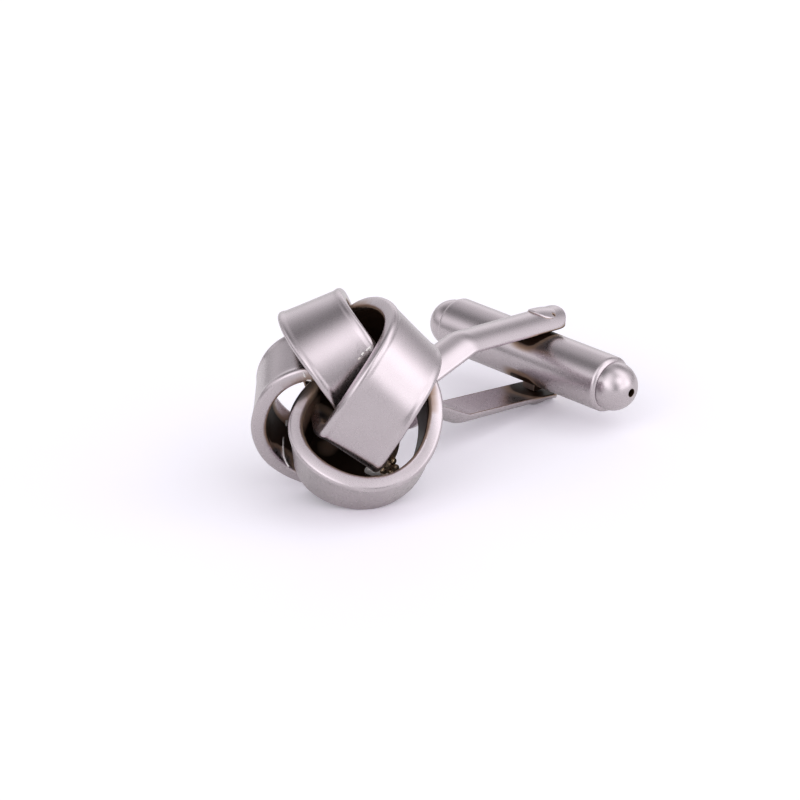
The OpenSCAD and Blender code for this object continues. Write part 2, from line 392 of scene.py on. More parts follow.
def satin_group():
    """Blasted satin metal: grain, cloudiness, burrs and a painted shade in hidden places; on the solder
    the same mix paints a pale highlight.
    """
    group, inside, outside = new_group(
        "Satin metal",
        [("NodeSocketColor", "Metal", (0.6, 0.57, 0.54, 1)),
         ("NodeSocketColor", "Painted light", (0.03, 0.02, 0.01, 1)),
         ("NodeSocketColor", "Painted shade fringe", (0.4, 0.24, 0.14, 1)),
         ("NodeSocketFloat", "Painted light amount", 0.0),
         ("NodeSocketFloat", "Burr", 0.0),
         ("NodeSocketFloat", "Roughness", 0.34)],
        [("NodeSocketColor", "Color"), ("NodeSocketFloat", "Metallic"),
         ("NodeSocketFloat", "Roughness"), ("NodeSocketFloat", "Height")])
    if inside is None:
        return group
    links = group.links
    place = group.nodes.new("ShaderNodeTexCoord").outputs["Object"]
    grain = noise_texture(group, place, GRAIN_WAVES, 3, 0.6)
    fleck = noise_texture(group, place, FLECK_WAVES, 2, 0.6)
    cloud = noise_texture(group, place, CLOUD_WAVES, 3, 0.55)
    scars = noise_texture(group, place, SCAR_WAVES, 3, 0.65)

    # The bare metal is a little cloudy and flecked
    shade = math_node(
        group, "ADD", swing(group, cloud, CLOUD_TONE), swing(group, fleck, FLECK_TONE))
    shade = math_node(group, "ADD", shade, 1.0)
    tone = group.nodes.new("ShaderNodeVectorMath")
    tone.operation = "SCALE"
    links.new(inside.outputs["Metal"], tone.inputs[0])
    links.new(shade, tone.inputs["Scale"])

    # The painted shade covers it patchily, with a tan edge of painted warm reflection where it is half
    # strong
    patchy = math_node(group, "ADD", math_node(group, "MULTIPLY", cloud, 0.3), 1.05)
    cover = math_node(group, "MULTIPLY", inside.outputs["Painted light amount"], patchy, clamp=True)
    coloured = mix_colour(group, cover, tone.outputs[0], inside.outputs["Painted light"])
    edge = math_node(group, "MULTIPLY", cover, math_node(group, "SUBTRACT", 1.0, cover))
    edge = math_node(group, "MULTIPLY", edge, PAINTED_SHADE_FRINGE_STRENGTH)
    coloured = mix_colour(group, edge, coloured, inside.outputs["Painted shade fringe"])
    links.new(coloured, outside.inputs["Color"])
    bare = math_node(group, "SUBTRACT", 1.0, math_node(group, "MULTIPLY", cover, PAINTED_LIGHT_COVER))
    links.new(bare, outside.inputs["Metallic"])
    dull = math_node(group, "MULTIPLY", cover, PAINTED_LIGHT_ROUGHNESS)
    dull = math_node(group, "ADD", swing(group, fleck, FLECK_ROUGHNESS), dull)
    links.new(math_node(group, "ADD", dull, inside.outputs["Roughness"]), outside.inputs["Roughness"])

    # The burrs are deep scars beside the joints
    height = math_node(group, "ADD", math_node(group, "MULTIPLY", fleck, 0.6), grain)
    burrs = math_node(group, "MULTIPLY", scars, SCAR_HEIGHT)
    burrs = math_node(group, "MULTIPLY", burrs, inside.outputs["Burr"])
    links.new(math_node(group, "ADD", height, burrs), outside.inputs["Height"])
    return group


def satin_material(name, look, metal=None, painted_light_colour=None, roughness=None):
    """A satin metal that darkens by painted shade and is rough at its burrs; on the solder the same
    share paints a pale highlight.
    """
    material = bpy.data.materials.new(name)
    material.use_nodes = True
    tree = material.node_tree
    shader = tree.nodes["Principled BSDF"]
    satin = tree.nodes.new("ShaderNodeGroup")
    satin.node_tree = satin_group()
    satin.inputs["Metal"].default_value = (*(metal or look.metal), 1)
    satin.inputs["Painted light"].default_value = (*(painted_light_colour or look.painted_shade), 1)
    satin.inputs["Painted shade fringe"].default_value = (*look.painted_shade_fringe, 1)
    satin.inputs["Roughness"].default_value = roughness or look.roughness
    for attribute, socket in (("painted_light", "Painted light amount"), ("burr", "Burr")):
        node = tree.nodes.new("ShaderNodeAttribute")
        node.attribute_name = attribute
        tree.links.new(node.outputs["Fac"], satin.inputs[socket])
    tree.links.new(satin.outputs["Color"], shader.inputs["Base Color"])
    tree.links.new(satin.outputs["Metallic"], shader.inputs["Metallic"])
    tree.links.new(satin.outputs["Roughness"], shader.inputs["Roughness"])
    shader.inputs["Specular IOR Level"].default_value = PAINTED_LIGHT_SHINE
    bump = tree.nodes.new("ShaderNodeBump")
    bump.inputs["Strength"].default_value = look.grain
    bump.inputs["Distance"].default_value = GRAIN_HEIGHT
    tree.links.new(satin.outputs["Height"], bump.inputs["Height"])
    tree.links.new(bump.outputs["Normal"], shader.inputs["Normal"])
    return material


# The knot

# Waves of a band's loop, as cosine and sine parts: mm of radius, mm of height, degrees of twist
OVAL = (-0.24, -0.13)
TREFOIL = (0.16, 0.04)
SADDLE = (-0.24, -0.35)
TWIST_EVEN = -6.9
TWIST_ONCE = (0.8, -10.8)
TWIST_DOUBLE = (-2.5, -2)
# How each band sits off its even place: shift in mm and turn in degrees about X, Y and Z
BAND_SEATS = (
    ((0.14, 0.14, -0.03), (0.9, 1.4, -3.4)),
    ((-0.12, -0.06, 0.02), (0.7, 0.6, 2.8)),
    ((0.14, 0.03, -0.06), (-0.4, -1, -0.4)),
    ((-0.12, -0.09, 0.09), (-1, -1.4, 1)),
)


# Where a band stands out or in: band, angle round its loop, width of the dent in degrees,
# mm outward in the ribbon's middle, and mm more at its front edge than in its middle
BAND_DENTS = (
    (1, 252, 14, 0.2, -0.2),
    (3, 112, 26, -0.5, 0),
)
# Where a band is bent more sharply: band, angle round its loop, reach and rounding in degrees
BAND_CORNERS = (
    (1, 257, 21, 3.5),
)


BAND_SWELLS = 420  # waves of the faces' unevenness in a metre


def wave(parts, times, at):
    """A wave that goes round the loop a number of times."""
    return parts[0] * math.cos(times * at) + parts[1] * math.sin(times * at)


def dent(sizes, index, at, across):
    """How far a band stands out at an angle round its loop; across runs from -1 to 1."""
    depth = 0.0
    for band, middle, wide, even, sideways in BAND_DENTS:
        if band == index:
            share_here = math.exp(-((math.degrees(at) - middle) / wide) ** 2)
            depth += (even + sideways * across) * share_here * MM
    for band, middle, reach, tip in BAND_CORNERS:
        if band == index:
            left = max(0, reach - math.hypot(math.degrees(at) - middle, tip))
            depth += sizes.band_radius * math.radians(left) ** 2 / 2
    return depth


def knot_directions(sizes):
    """Where the knot faces, its own up and its own right, and its middle."""
    facing = Vector((math.tan(sizes.face_turn), -1, math.tan(sizes.face_lift))).normalized()
    up = (Vector((0, 0, 1)) - facing.z * facing).normalized()
    middle = Vector((sizes.knot_side, -sizes.knot_distance, sizes.knot_rise))
    return facing, up, up.cross(facing), middle


def ribbon_section(sizes, corner_steps):
    """The ribbon's section as (outward, across, inner share): rounded edges and low lips."""
    width, thick, edge = sizes.band_width, sizes.band_thickness, sizes.band_edge
    half = width / 2 - edge
    lip, slope = sizes.band_lip, sizes.lip_slope
    near = [lip * 0.5, lip]
    near += [lip + slope * (i + 1) / 5 for i in range(5)]
    near += [lip + slope + (half - lip - slope) * (i + 1) / 5 for i in range(5)]
    columns = near + [2 * half - d for d in reversed(near[:-1])]
    section = []
    for corner in range(4):
        out = -edge if corner in (0, 3) else edge - thick
        across = half if corner < 2 else -half
        for step in range(corner_steps + 1):
            a = math.radians(90 * corner + 90 * step / corner_steps)
            outward = out + edge * math.cos(a)
            inner = clamped(-outward / thick)
            section.append((outward, across + edge * math.sin(a), inner))
        if corner in (1, 3):
            sign = 1 if corner == 1 else -1
            for distance in columns:
                to_edge = min(distance, 2 * half - distance)
                fall = clamped((to_edge - lip) / slope)
                dish = sizes.band_dish * (0.5 - 0.5 * math.cos(math.pi * fall))
                outward = -dish if corner == 3 else 0.3 * dish - thick
                section.append((outward, sign * (half - distance), 1 if corner == 1 else 0))
    return section


def band_loop(sizes, index, directions, section, stations):
    """The points of one band, and how far each is on the inner face."""
    facing, up, right, middle = directions
    a = sizes.ring_turn - math.pi / 2 * index
    out = math.cos(a) * up - math.sin(a) * right
    lean = math.cos(sizes.band_lean) * out + math.sin(sizes.band_lean) * facing.cross(out)
    axis = math.cos(sizes.band_tilt) * facing + math.sin(sizes.band_tilt) * lean
    start = (out - out.dot(axis) * axis).normalized()
    side = axis.cross(start)
    shift, turn = (Vector(v) for v in BAND_SEATS[index])
    centre = middle + sizes.band_spread * out + shift * MM
    seat = Matrix.Rotation(math.radians(turn.length), 3, turn.normalized())

    def loop_point(at):
        radius = sizes.band_radius + MM * (wave(OVAL, 2, at) + wave(TREFOIL, 3, at))
        return radius * (math.cos(at) * start + math.sin(at) * side) + MM * wave(SADDLE, 2, at) * axis

    points, inner = [], []
    for i in range(stations):
        at = 2 * math.pi * i / stations
        here = loop_point(at)
        along = (loop_point(at + math.radians(1)) - loop_point(at - math.radians(1))).normalized()
        flat = (axis - along.dot(axis) * along).normalized()
        outward = along.cross(flat)
        twist = math.radians(TWIST_EVEN + wave(TWIST_ONCE, 1, at) + wave(TWIST_DOUBLE, 2, at))
        n = math.cos(twist) * outward + math.sin(twist) * flat
        b = math.cos(twist) * flat - math.sin(twist) * outward
        for p_out, p_across, inner_share in section:
            point = here + p_out * n + p_across * b
            swell = noise.noise(point * BAND_SWELLS + Vector((7 * index, 3, 1))) * sizes.band_wave
            point = point + (swell + dent(sizes, index, at, 2 * p_across / sizes.band_width)) * n
            points.append(centre + seat @ point)
            inner.append(inner_share)
    return points, inner


# Where the painted shade is lessened, and where it is deepened into a band of painted reflection of the
# dark inside: place in mm, reach in mm, change of the painted shade
PAINTED_SHADE_PATCHES = (
    ((-6.1, -20.0, -1.9), 1.3, -1.6),
    ((-4.7, -21.6, -3.2), 1.1, 0.9),
    ((-3.5, -22.4, -4.8), 1.1, -1.6),
    ((-0.2, -22.1, -0.6), 1.2, -1.0),
    ((-2.7, -18.3, -4.5), 0.9, -0.4),
)


# Where the metal is scarred beside a joint: place in mm, reach in mm, strength
BURRS = (
    ((3.05, -21.75, 4.75), 0.75, 1.0),
    ((2.7, -22.5, 3.0), 0.6, 0.7),
    ((-3.9, -22.2, -4.2), 0.8, 0.4),
    ((-2.3, -18.3, -4.5), 0.9, 0.6),
)


def near_spots(point, spots):
    """The sum of what spots give at a point: each is (place in mm, reach in mm, strength)."""
    return sum(
        strength * math.exp(-((point - MM * Vector(place)).length / (reach * MM)) ** 2)
        for place, reach, strength in spots)


PAINTED_SHADE_STARTS = 0.75  # open share below which an inner face begins to get painted shade
PAINTED_SHADE_FULL = 0.25  # open share at which that painted shade is full, and an outer face begins to get painted shade
OUTER_PAINTED_SHADE = 0.6  # strongest painted shade on an outer face


def painted_shade_share(point, inner, clear):
    """Painted shade on inner faces and where little of the room is seen."""
    hidden = clamped((PAINTED_SHADE_STARTS - clear) / (PAINTED_SHADE_STARTS - PAINTED_SHADE_FULL))
    tucked = clamped((PAINTED_SHADE_FULL - clear) / PAINTED_SHADE_FULL)
    amount = inner * hidden + (1 - inner) * OUTER_PAINTED_SHADE * tucked
    return clamped(amount + near_spots(point, PAINTED_SHADE_PATCHES))


class CUFFLINK_OT_knot(bpy.types.Operator):
    """Four like ribbon bands, interlinked and soldered into a knot"""

    bl_idname = "cufflink.knot"
    bl_label = "Knot"

    def execute(self, context):
        sizes = context.scene.cufflink_knot
        look = context.scene.cufflink_finish
        stations = 300
        section = ribbon_section(sizes, 5)
        directions = knot_directions(sizes)
        points, faces, inner = [], [], []
        for index in range(len(BAND_SEATS)):
            base = len(points)
            band_points, band_inner = band_loop(sizes, index, directions, section, stations)
            points += band_points
            inner += band_inner
            count = len(section)
            for i in range(stations):
                here, there = base + i * count, base + (i + 1) % stations * count
                for j in range(count):
                    k = (j + 1) % count
                    faces.append((here + j, here + k, there + k, there + j))
        mesh = fresh_mesh("Knot", points, faces)
        # Painted shade: the less of the room a point sees, the darker it is painted
        reach = 7 * MM
        open_share = openness(mesh, reach, 24)
        store(mesh, "painted_light", [
            painted_shade_share(vertex.co, share_here, clear)
            for vertex, share_here, clear in zip(mesh.vertices, inner, open_share)])
        store(mesh, "burr", [near_spots(vertex.co, BURRS) for vertex in mesh.vertices])
        material = satin_material("Knot metal", look)
        finish_piece("Knot", mesh, material, "post", ["knot"], crease=60)
        return {"FINISHED"}


# Lumps of solder: first and last place in mm, radius in mm, and 0 for golden brown to 1 for pale; the
# pale colour is partly a painted highlight, and several of the small pale lumps are painted glints
SOLDER = (
    ((2.3, -19.2, -4.32), (3.0, -18.85, -4.27), 0.34, 1.0),
    ((3.2, -18.75, -4.15), (3.3, -18.65, -4.05), 0.36, 0.2),
    ((3.5, -18.75, -3.7), (3.6, -18.65, -3.55), 0.32, 0.4),
    ((3.75, -18.55, -3.35), (3.8, -18.5, -3.25), 0.26, 0.1),
    ((3.9, -18.4, -3.85), (4.0, -18.35, -3.75), 0.28, 0.3),
    ((3.6, -18.4, -4.2), (3.7, -18.35, -4.15), 0.3, 0.2),
    ((-4.45, -21.16, -3.72), (-3.98, -21.6, -4.15), 0.05, 1.0),
    ((-3.98, -21.6, -4.15), (-3.62, -21.84, -4.62), 0.07, 1.0),
    ((-3.62, -21.84, -4.62), (-3.33, -21.9, -4.98), 0.08, 1.0),
    ((-3.33, -21.9, -4.98), (-3.0, -21.84, -5.29), 0.06, 1.0),
    ((-5.3, -20.15, -2.95), (-5.1, -20.3, -3.2), 0.08, 1.0),
    ((-0.85, -23.45, 2.7), (-0.75, -23.3, 2.35), 0.07, 1.0),
    ((-0.75, -23.1, 2.1), (-0.5, -22.95, 2.1), 0.07, 1.0),
    ((3.1, -21.5, 5.15), (3.25, -21.3, 5.4), 0.08, 1.0),
    ((2.95, -21.75, 4.85), (3.0, -21.7, 4.95), 0.09, 1.0),
    ((2.8, -21.95, 4.5), (2.9, -21.85, 4.6), 0.07, 0.8),
)


class CUFFLINK_OT_solder(bpy.types.Operator):
    """The small lumps and seams of solder that show between the bands"""

    bl_idname = "cufflink.solder"
    bl_label = "Solder"

    def execute(self, context):
        look = context.scene.cufflink_finish
        balls = bmesh.new()
        painted_light_values = []
        swells, swell_share = 2500, 0.25
        for first, last, radius, cover in SOLDER:
            first, last = Vector(first), Vector(last)
            steps = 1 + round((last - first).length / (0.6 * radius))
            for i in range(steps):
                middle = first.lerp(last, i / steps)
                turn = Matrix.Translation(middle * MM)
                made = bmesh.ops.create_icosphere(
                    balls, subdivisions=3, radius=radius * MM, matrix=turn)
                for vertex in made["verts"]:
                    swell = noise.noise(vertex.co * swells) * swell_share * radius * MM
                    vertex.co += (vertex.co - middle * MM).normalized() * swell
                painted_light_values += [cover] * len(made["verts"])
        mesh = bpy.data.meshes.new("Solder")
        balls.to_mesh(mesh)
        balls.free()
        store(mesh, "painted_light", painted_light_values)
        # The pale solder colour is mixed in by the stored share as a painted highlight
        material = satin_material("Solder metal", look, look.scorch, look.solder, look.solder_roughness)
        finish_piece("Solder", mesh, material, "post", [], crease=180)
        return {"FINISHED"}


# The bracket

def strip_path(sizes):
    """The inside line of the upper arm: a function from the distance to the rivet to (y, z, slope)."""
    slope = math.atan((sizes.gap_at_rivet - sizes.gap_at_bend) / 2 / sizes.bend_distance)
    bend = sizes.leg_angle - slope
    setback = sizes.bend_radius * math.tan(bend / 2)
    corner = Vector((-sizes.bend_distance, sizes.gap_at_bend / 2))
    rivet = Vector((0, sizes.gap_at_rivet / 2))
    straight = (rivet - corner).length - setback
    arc_length = sizes.bend_radius * bend
    arc_start = rivet - straight * Vector((math.cos(slope), math.sin(slope)))
    middle = arc_start + sizes.bend_radius * Vector((math.sin(slope), -math.cos(slope)))

    def at(distance):
        if distance <= straight:
            y, z = rivet - distance * Vector((math.cos(slope), math.sin(slope)))
            return y, z, slope
        if distance <= straight + arc_length:
            a = slope + (distance - straight) / sizes.bend_radius
            y, z = middle + sizes.bend_radius * Vector((-math.sin(a), math.cos(a)))
            return y, z, a
        rest = distance - straight - arc_length
        a = sizes.leg_angle
        end = middle + sizes.bend_radius * Vector((-math.sin(a), math.cos(a)))
        y, z = end - rest * Vector((math.cos(a), math.sin(a)))
        return y, z, a

    end = straight + arc_length
    while at(end)[0] > -sizes.foot_distance + sizes.foot_thickness / 2:
        end += 0.02 * MM
    return at, end


def strip_outer(sizes, side, x, distance=0.0):
    """The height of an arm's outer face over its inner face, x across the arm."""
    half = sizes.strip_width / 2
    crown = sizes.strip_crown
    if side < 0:
        to_bend = clamped(distance / sizes.bend_distance)
        crown = sizes.lower_crown + to_bend * (sizes.strip_crown - sizes.lower_crown)
    crown_radius = (crown + half * half / crown) / 2
    return sizes.strip_edge + crown - crown_radius + math.sqrt(crown_radius ** 2 - x * x)


def arm_sag(sizes, side, distance):
    """How far the lower arm is bent down."""
    return sizes.lower_sag * clamped(distance / sizes.bend_distance) if side < 0 else 0.0


END_POWER = 0.83  # below 1, an arm's round end is a little square
ARM_CREASE = 0.07 * MM  # flat border round an arm's inner face
SIDE_ROWS = 90  # steps along an arm's long edge
END_STEPS = 40  # steps round an arm's end
HOLE_STEPS = 48  # steps round the flat spot
NET_PITCH = 0.22 * MM  # mesh size of an arm's faces
NET_MARGIN = 0.1 * MM  # free border of that net, at the edges and the flat spot


def strip_arm(sizes, name, side):
    """One arm: flat inside, crowned outside, round at the rivet, with a flat spot for the head."""
    at, end = strip_path(sizes)
    half = sizes.strip_width / 2
    spot_radius = sizes.head_diameter / 2 + 0.012 * MM
    floor_radius = spot_radius - 0.004 * MM
    spot_height = strip_outer(sizes, side, 0) - sizes.spot_depth
    r = sizes.strip_round
    reach = sizes.arm_reach

    def place(x, distance, height):
        y, z, slope = at(distance)
        z += arm_sag(sizes, side, distance)
        return Vector((x, y - height * math.sin(slope), side * (z + height * math.cos(slope))))

    def outline(inset):
        """Points round the strip's plan, (across, distance), set in from its edge."""
        points = []
        wide = half - inset
        run = end + reach
        for i in range(SIDE_ROWS):
            points.append((wide, end - run * i / SIDE_ROWS))
        for i in range(END_STEPS):
            a = math.pi * i / END_STEPS
            x = math.copysign(abs(math.cos(a)) ** END_POWER, math.cos(a))
            points.append((wide * x, -reach - wide * math.sin(a) ** END_POWER))
        for i in range(SIDE_ROWS + 1):
            points.append((-wide, run * i / SIDE_ROWS - reach))
        return points

    points, faces = [], []
    loops = []
    rings = [(r + ARM_CREASE, 0.0, False)]
    for step in range(5):
        a = math.pi / 2 * step / 4
        rings.append((r * (1 - math.sin(a)), r * (1 - math.cos(a)), False))
    for step in range(5):
        a = math.pi / 2 * step / 4
        rings.append((r * (1 - math.cos(a)), r * (1 - math.sin(a)), True))
    for inset, drop, upper in rings:
        loop = []
        for x, distance in outline(inset):
            height = strip_outer(sizes, side, x, distance) - drop if upper else drop
            loop.append(len(points))
            points.append(place(x, distance, height))
        loops.append(loop)
    count = len(loops[0])
    for low, high in zip(loops, loops[1:]):
        for i in range(count):
            j = (i + 1) % count
            faces.append((low[i], low[j], high[j], high[i]))

    def fill(loop, inset, height_at, hole=None):
        """Fills a loop with a fine even net, with a round hole left open."""
        border = [Vector(p) for p in outline(inset)]
        flat = list(border)
        net = [(i, (i + 1) % count) for i in range(count)]
        if hole:
            first = len(flat)
            for i in range(HOLE_STEPS):
                a = 2 * math.pi * i / HOLE_STEPS
                flat.append(Vector((hole * math.cos(a), hole * math.sin(a))))
            net += [(first + i, first + (i + 1) % HOLE_STEPS) for i in range(HOLE_STEPS)]
        rows = int((end + reach + half) / NET_PITCH)
        columns = int(half / NET_PITCH)
        for row in range(rows):
            distance = end - NET_PITCH * (row + 0.5)
            for column in range(-columns, columns + 1):
                x = column * NET_PITCH
                wide = half - inset - NET_MARGIN
                if abs(x) > wide or (distance < -reach and math.hypot(x, distance + reach) > wide):
                    continue
                if hole and abs(math.hypot(x, distance) - hole) < NET_MARGIN:
                    continue
                flat.append(Vector((x, distance)))
        out, _, cells, origin, _, _ = delaunay_2d_cdt(flat, net, [], 1, 1e-9)
        index = {}
        for new, olds in enumerate(origin):
            on_border = [old for old in olds if old < count]
            if on_border:
                index[new] = loop[on_border[0]]
        ring = {}
        for new, place_2d in enumerate(out):
            if new not in index:
                index[new] = len(points)
                points.append(place(place_2d.x, place_2d.y, height_at(place_2d.x, place_2d.y)))
            if hole and abs(place_2d.length - hole) < 1e-7:
                ring[new] = math.atan2(place_2d.y, place_2d.x)
        for cell in cells:
            centre = sum((out[c] for c in cell), Vector((0, 0))) / len(cell)
            if hole and centre.length < hole * 0.999:
                continue
            faces.append(tuple(index[c] for c in cell))
        return [index[new] for new in sorted(ring, key=ring.get)]

    def outer_height(x, distance):
        return strip_outer(sizes, side, x, distance)

    fill(loops[0], r + ARM_CREASE, lambda x, distance: 0.0)
    brink = fill(loops[-1], r, outer_height, spot_radius)
    floor_z = side * (at(0)[1] + spot_height)
    floor_loop = []
    for i in brink:
        across = Vector(points[i].xy).normalized() * floor_radius
        floor_loop.append(len(points))
        points.append(Vector((across.x, across.y, floor_z)))
    for i in range(len(brink)):
        j = (i + 1) % len(brink)
        faces.append((brink[i], brink[j], floor_loop[j], floor_loop[i]))
    faces.append(tuple(floor_loop))
    return fresh_mesh(name, points, faces)


class CUFFLINK_OT_bracket(bpy.types.Operator):
    """The bent strip: two crowned arms and the foot on the knot's back"""

    bl_idname = "cufflink.bracket"
    bl_label = "Bracket"

    def execute(self, context):
        sizes = context.scene.cufflink_back
        look = context.scene.cufflink_finish
        upper = strip_arm(sizes, "upper arm", 1)
        lower = strip_arm(sizes, "lower arm", -1)
        edge = 0.1 * MM
        radius, thick = sizes.foot_diameter / 2, sizes.foot_thickness
        profile = [(0.0, 0.0)]
        profile += arc(radius - edge, edge, edge, -90, 0, 4)
        profile += arc(radius - edge, thick - edge, edge, 0, 90, 4)
        profile += [(0.0, thick)]
        foot = lathe("foot", profile, 96)
        foot.transform(
            Matrix.Translation((0, -sizes.foot_distance, 0)) @ Matrix.Rotation(-math.pi / 2, 4, "X"))
        mesh = combined(foot, [upper, lower], "UNION")
        # Painted shade between the arms: a pool round the rivet, wider under the upper arm, and a dark
        # line along the rim of the inner faces
        painted_light_values = []
        at = strip_path(sizes)[0]
        rim = sizes.strip_width / 2 - sizes.strip_round
        upper_reach, lower_reach = 2.8 * MM, 1.9 * MM
        skin, rim_width, rim_shade = 0.1 * MM, 0.02 * MM, 0.8
        for vertex in mesh.vertices:
            p = vertex.co
            inside_arms = abs(p.z) < at(-p.y)[1] + arm_sag(sizes, p.z, -p.y) + skin
            reach = upper_reach if p.z > 0 else lower_reach
            shadow = 1.5 * math.exp(-(math.hypot(p.x, p.y) / reach) ** 4)
            past_rivet = max(0, p.y - sizes.arm_reach)
            crease = rim_shade if abs(math.hypot(p.x, past_rivet) - rim) < rim_width else 0
            painted_light_values.append(min(1, max(shadow, crease)) if inside_arms else 0)
        store(mesh, "painted_light", painted_light_values)
        finish_piece(
            "Bracket", mesh, satin_material("Bracket metal", look), "post", ["bracket"],
            drop=sizes.arms_drop)
        return {"FINISHED"}


# The rivet, toggle and block

def head_seat(sizes, side):
    """Height of the flat spot under a rivet head, with a small gap."""
    return sizes.gap_at_rivet / 2 + strip_outer(sizes, side, 0) - sizes.spot_depth + 0.02 * MM


# The hammered upper head, in mm: how far it stands out, how much less on its far side, its pit's
# place, reach and depth, and the height of the burr that the hammer left at its rim
HEAD_STAND = 0.08
HEAD_LEAN = 0.05
PIT_PLACE = (0.83, 0.4)
PIT_REACH = 0.1
PIT_DEPTH = 0.08
RIM_BURR = 0.03
SHOULDER = 0.93  # share of its radius from which it is rounded


def peened(x, y, head):
    """The hammered upper head, in mm: how far it stands out at a place, and the share of its pit."""
    r = math.hypot(x, y) / head
    lean = (x + y) / head / math.sqrt(2)
    shoulder = max(0, r - SHOULDER) / (1 - SHOULDER)
    stand = (HEAD_STAND - HEAD_LEAN * lean) * (1 - 0.6 * shoulder ** 2)
    around = math.degrees(math.atan2(y, x))
    raised = math.exp(-((r - 0.95) / 0.05) ** 2) * math.exp(-((around + 8) / 28) ** 4)
    pit = math.exp(-(math.hypot(x - PIT_PLACE[0], y - PIT_PLACE[1]) / PIT_REACH) ** 2)
    return stand + RIM_BURR * raised - PIT_DEPTH * pit, pit


class CUFFLINK_OT_rivet(bpy.types.Operator):
    """The rivet, with a low domed head in each arm"""

    bl_idname = "cufflink.rivet"
    bl_label = "Rivet"

    def execute(self, context):
        sizes = context.scene.cufflink_back
        look = context.scene.cufflink_finish
        pin, head = sizes.pin_diameter / 2, sizes.head_diameter / 2
        head_side, lower_dome = 0.1 * MM, 0.22
        steps = 30
        halves = {}
        for side in (-1, 1):
            seat = head_seat(sizes, side)
            profile = [(pin, seat), (head, seat)]
            profile += [(head * (1 - i / steps), seat + head_side) for i in range(steps + 1)]
            halves[side] = [(r, side * h) for r, h in profile]
        mesh = lathe("Rivet", halves[-1][::-1] + halves[1], 120)
        painted_light_values = []
        for vertex in mesh.vertices:
            x, y, z = vertex.co
            r = math.hypot(x, y)
            # Painted shade on the pin and under the heads, and in the pit of the hammered upper head
            cover = 1.0
            side = math.copysign(1, z)
            if abs(z) > head_seat(sizes, side) + head_side / 2:
                dome = 1 - (r / head) ** 2
                stand, pit = peened(x / MM, y / MM, head / MM) if z > 0 else (lower_dome * dome, 0)
                top = sizes.gap_at_rivet / 2 + strip_outer(sizes, side, x)
                top += sizes.head_height * dome + stand * MM
                vertex.co.z = side * top
                cover = min(1, 1.6 * pit)
            painted_light_values.append(cover)
        store(mesh, "painted_light", painted_light_values)
        finish_piece(
            "Rivet", mesh, satin_material("Rivet metal", look), "post", ["rivet"],
            drop=sizes.arms_drop)
        return {"FINISHED"}


def along_toggle(sizes):
    """Turns the axis Z of a lathe into the toggle's axis."""
    return Matrix.Translation((-sizes.toggle_offset, 0, 0)) @ Matrix.Rotation(math.pi / 2, 4, "Y")


class CUFFLINK_OT_barrel(bpy.types.Operator):
    """The toggle's barrel, a tube with round rims and a window for the swivel block"""

    bl_idname = "cufflink.barrel"
    bl_label = "Barrel"

    def execute(self, context):
        sizes = context.scene.cufflink_back
        look = context.scene.cufflink_finish
        outer, edge = sizes.barrel_diameter / 2, sizes.barrel_edge
        inner, half = outer - sizes.barrel_wall, sizes.barrel_length / 2
        rows = 120
        profile = [(inner, -half)]
        profile += arc(outer - edge, edge - half, edge, -90, 0, 8)
        for i in range(1, rows):
            profile.append((outer, (half - edge) * (2 * i / rows - 1)))
        profile += arc(outer - edge, half - edge, edge, 0, 90, 8)
        profile += [(inner, half)]
        tube = lathe("Barrel", profile, 160)
        tube.transform(along_toggle(sizes))
        window_gap = 0.04 * MM
        opening = sizes.block_side / 2 + window_gap
        cutter = box_mesh("window", (-opening, -opening, -2 * outer), (opening, opening, 2 * outer))
        mesh = combined(tube, [cutter], "DIFFERENCE")
        # Painted shade inside the tube, and in patches on the top and bottom by the window, under the
        # arms
        painted_light_values = []
        upper_shade_patch, lower_shade_patch, side_free = (1.4, 1.9), (1.5, 2.15), 0.7
        for vertex in mesh.vertices:
            x, y, z = vertex.co / MM
            to_end = half / MM - abs(x + sizes.toggle_offset / MM)
            inside = 1.0 if math.hypot(y, z) < outer / MM - 0.1 and to_end > 0.3 else 0.0
            along, across = upper_shade_patch if z > 0 else lower_shade_patch
            near_window = math.hypot(x / along, y / across)
            up_or_down = clamped((abs(z) - side_free) / side_free)
            painted_light_values.append(max(inside, min(1, 2.2 * math.exp(-near_window ** 4)) * up_or_down))
        store(mesh, "painted_light", painted_light_values)
        finish_piece(
            "Barrel", mesh, satin_material("Barrel metal", look), "toggle", ["barrel"])
        return {"FINISHED"}


class CUFFLINK_OT_caps(bpy.types.Operator):
    """The two round caps of the toggle, each with its vent hole"""

    bl_idname = "cufflink.caps"
    bl_label = "Caps"

    def execute(self, context):
        sizes = context.scene.cufflink_back
        look = context.scene.cufflink_finish
        ball, vent = sizes.cap_diameter / 2, sizes.vent_diameter / 2
        middle = sizes.toggle_length / 2 - ball
        gap, depth, lip = 0.02 * MM, 0.8 * MM, 0.05 * MM
        seat = sizes.barrel_length / 2 + gap
        start = math.degrees(math.asin((seat - middle) / ball))
        end = math.degrees(math.acos((vent + lip) / ball))
        neck = sizes.barrel_diameter / 2 - sizes.barrel_wall - gap
        profile = [(vent, seat - depth), (neck, seat - depth), (neck, seat)]
        profile += arc(0, middle, ball, start, end, 48)
        top = profile[-1][1]
        profile += arc(vent + lip, top - lip, lip, 80, 180, 5)
        material = satin_material("Cap metal", look)
        for name, node, side in (("LeftCap", "left_cap", -1), ("RightCap", "right_cap", 1)):
            mesh = lathe(name, [(r, side * h) for r, h in profile], 128)
            painted_light_values = []
            for vertex in mesh.vertices:
                r = math.hypot(vertex.co.x, vertex.co.y)
                # Painted shade inside the vent hole
                painted_light_values.append(1.0 if r < vent + 0.3 * lip else 0.0)
            store(mesh, "painted_light", painted_light_values)
            mesh.transform(along_toggle(sizes))
            finish_piece(name, mesh, material, "toggle", [node])
        return {"FINISHED"}


